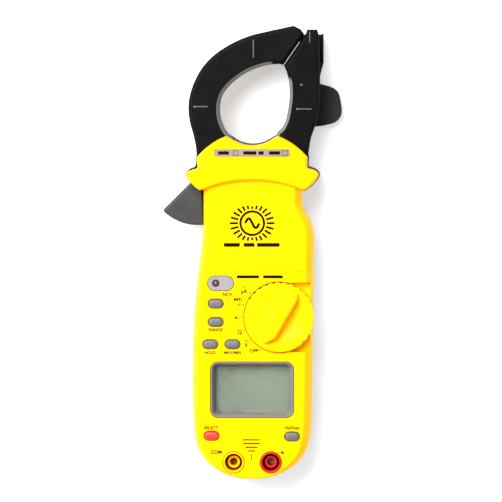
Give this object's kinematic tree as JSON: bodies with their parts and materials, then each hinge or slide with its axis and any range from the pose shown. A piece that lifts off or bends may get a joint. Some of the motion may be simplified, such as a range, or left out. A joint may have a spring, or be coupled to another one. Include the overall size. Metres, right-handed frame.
{
  "type": "clamp multimeter",
  "caption": "Hand-held clamp multimeter: opening current jaw with finger trigger, rotary selector, recessed display, push buttons and shrouded test sockets.",
  "frame": {"origin": "bottom centre of the bounding box, on the surface that the meter lies on", "axes": "+Z out of the display face, +Y towards the jaws, +X to the right as the display is read"},
  "size_m": [0.0916, 0.2324, 0.039],
  "materials": {
    "yellow_plastic": "satin moulded ABS",
    "black_plastic": "satin moulded ABS",
    "rear_plastic": "fine textured ABS",
    "dark_plastic": "textured ABS",
    "button_grey": "soft satin",
    "red_plastic": "satin",
    "bezel_plastic": "matte",
    "window_plastic": "translucent, glossy",
    "clear_lens": "polished clear acrylic",
    "display_glass": "grey-green liquid crystal cell",
    "white_plastic": "diffusing",
    "circuit_board": "solder-masked laminate",
    "chip_black": "moulded epoxy",
    "steel": "zinc-plated",
    "brass": "turned",
    "copper_winding": "enamelled copper wire under tape",
    "laminated_iron": "laminated sheet",
    "conductive_rubber": "matte",
    "label_film": "printed film",
    "cell_sleeve": "printed sleeve"
  },
  "bodies": {
    "case": {"front_case": "yellow_plastic", "rear_case": "rear_plastic", "battery_cover": "rear_plastic", "battery_screw": "steel", "rear_label": "label_film", "head_label": "label_film", "fixed_jaw_front": "black_plastic", "fixed_jaw_rear": "black_plastic", "fixed_core": "laminated_iron", "fixed_coil": "copper_winding", "pivot_pin": "steel", "return_spring": "steel", "probe_holder": "dark_plastic", "holder_screw": "steel", "lcd_frame": "bezel_plastic", "lcd_window": "clear_lens", "lcd_glass": "display_glass", "backlight": "white_plastic", "zebra_strip": "conductive_rubber", "circuit_board": "circuit_board", "processor_chip": "chip_black", "buzzer": "chip_black", "led_window": "window_plastic", "ncv_led": "red_plastic", "jack_com_shroud": "yellow_plastic", "jack_com_socket": "brass", "jack_pos_shroud": "red_plastic", "jack_pos_socket": "brass", "battery_1": "cell_sleeve", "battery_2": "cell_sleeve", "contact_bridge": "steel", "contact_negative": "steel", "contact_positive": "steel", "switch_detector": "chip_black", "switch_range": "chip_black", "switch_hold": "chip_black", "switch_peak": "chip_black", "switch_select": "chip_black", "switch_duty": "chip_black", "case_screw_1": "steel", "case_screw_2": "steel", "case_screw_3": "steel", "case_screw_4": "steel", "case_screw_5": "steel"},
    "lever": {"lever_front": "black_plastic", "lever_rear": "black_plastic", "moving_core": "laminated_iron", "moving_coil": "copper_winding"},
    "selector": {"selector_knob": "yellow_plastic", "wiper_carrier": "white_plastic", "wiper_contacts": "brass", "detent_ball": "steel", "detent_spring": "steel"},
    "button_detector": {"button_detector": "button_grey"},
    "button_range": {"button_range": "button_grey"},
    "button_hold": {"button_hold": "button_grey"},
    "button_peak": {"button_peak": "button_grey"},
    "button_select": {"button_select": "red_plastic"},
    "button_duty": {"button_duty": "button_grey"}
  },
  "joints": [
    {"name": "jaw_lever", "type": "hinge", "parent": "case", "child": "lever", "pos_m": [-0.028, 0.04, 0.018], "axis": [0, 0, 1], "range_deg": [0, 22], "stiffness_Nm_per_rad": 0.6, "springref_deg": -20.05, "deforming": ["return_spring"]},
    {"name": "selector_turn", "type": "hinge", "parent": "case", "child": "selector", "pos_m": [0.0138, -0.0325, 0.03], "axis": [0, 0, 1], "range_deg": [-100, 0]},
    {"name": "press_detector", "type": "slide", "parent": "case", "child": "button_detector", "axis": [0, 0, -1], "range_m": [0, 0.0008], "stiffness_N_per_m": 1800, "springref_m": -0.0002},
    {"name": "press_range", "type": "slide", "parent": "case", "child": "button_range", "axis": [0, 0, -1], "range_m": [0, 0.0008], "stiffness_N_per_m": 1800, "springref_m": -0.0002},
    {"name": "press_hold", "type": "slide", "parent": "case", "child": "button_hold", "axis": [0, 0, -1], "range_m": [0, 0.0008], "stiffness_N_per_m": 1800, "springref_m": -0.0002},
    {"name": "press_peak", "type": "slide", "parent": "case", "child": "button_peak", "axis": [0, 0, -1], "range_m": [0, 0.0008], "stiffness_N_per_m": 1800, "springref_m": -0.0002},
    {"name": "press_select", "type": "slide", "parent": "case", "child": "button_select", "axis": [0, 0, -1], "range_m": [0, 0.0008], "stiffness_N_per_m": 1800, "springref_m": -0.0002},
    {"name": "press_duty", "type": "slide", "parent": "case", "child": "button_duty", "axis": [0, 0, -1], "range_m": [0, 0.0008], "stiffness_N_per_m": 1800, "springref_m": -0.0002}
  ]
}
